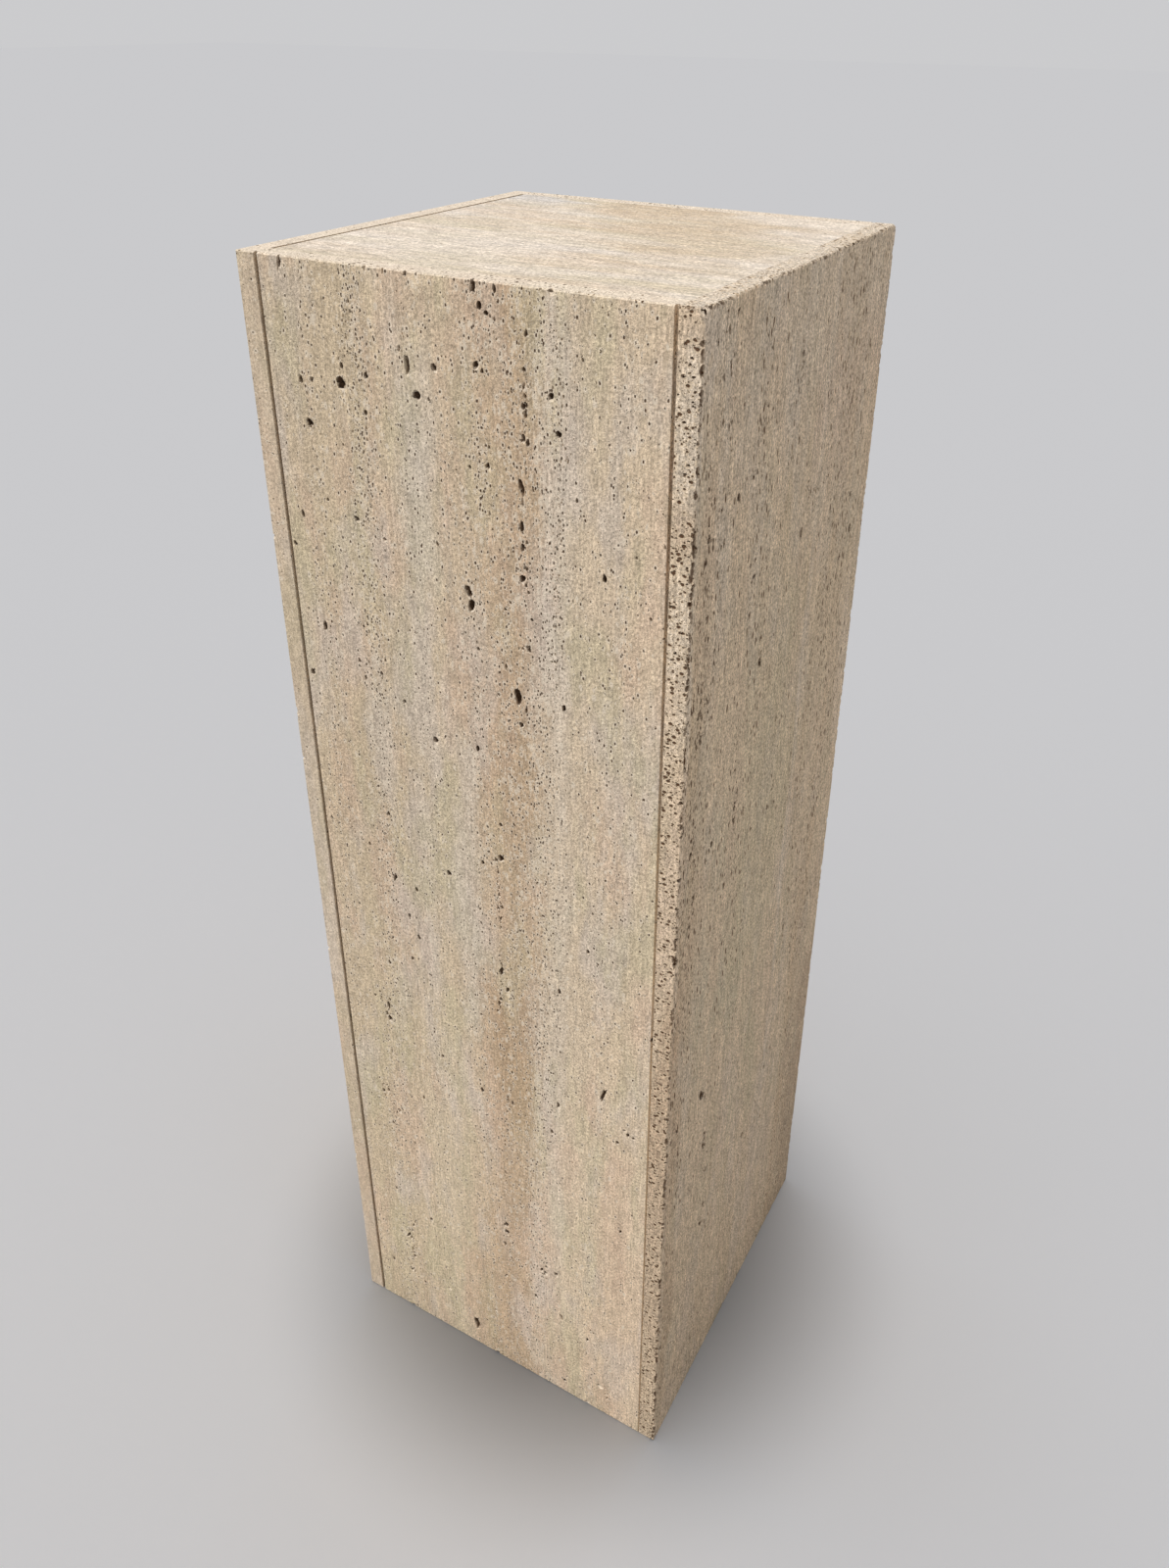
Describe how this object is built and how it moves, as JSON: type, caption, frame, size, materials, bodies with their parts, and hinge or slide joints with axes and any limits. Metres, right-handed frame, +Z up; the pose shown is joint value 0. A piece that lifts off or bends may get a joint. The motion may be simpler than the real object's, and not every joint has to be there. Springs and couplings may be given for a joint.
{
  "type": "stone pedestal",
  "caption": "Square travertine pedestal column of flat wall slabs round an inset top slab, hollow and open at the foot, to raise a statue, vase or plant.",
  "frame": {"origin": "centre of the square footprint, on the ground", "axes": "+Z up the column, -Y towards the front, +X to the right seen from the front"},
  "size_m": [0.32, 0.32, 1],
  "materials": {
    "travertine": "honed, with open pores"
  },
  "bodies": {
    "root": {"front_slab": "travertine", "back_slab": "travertine", "left_slab": "travertine", "right_slab": "travertine", "top_slab": "travertine"}
  },
  "joints": []
}
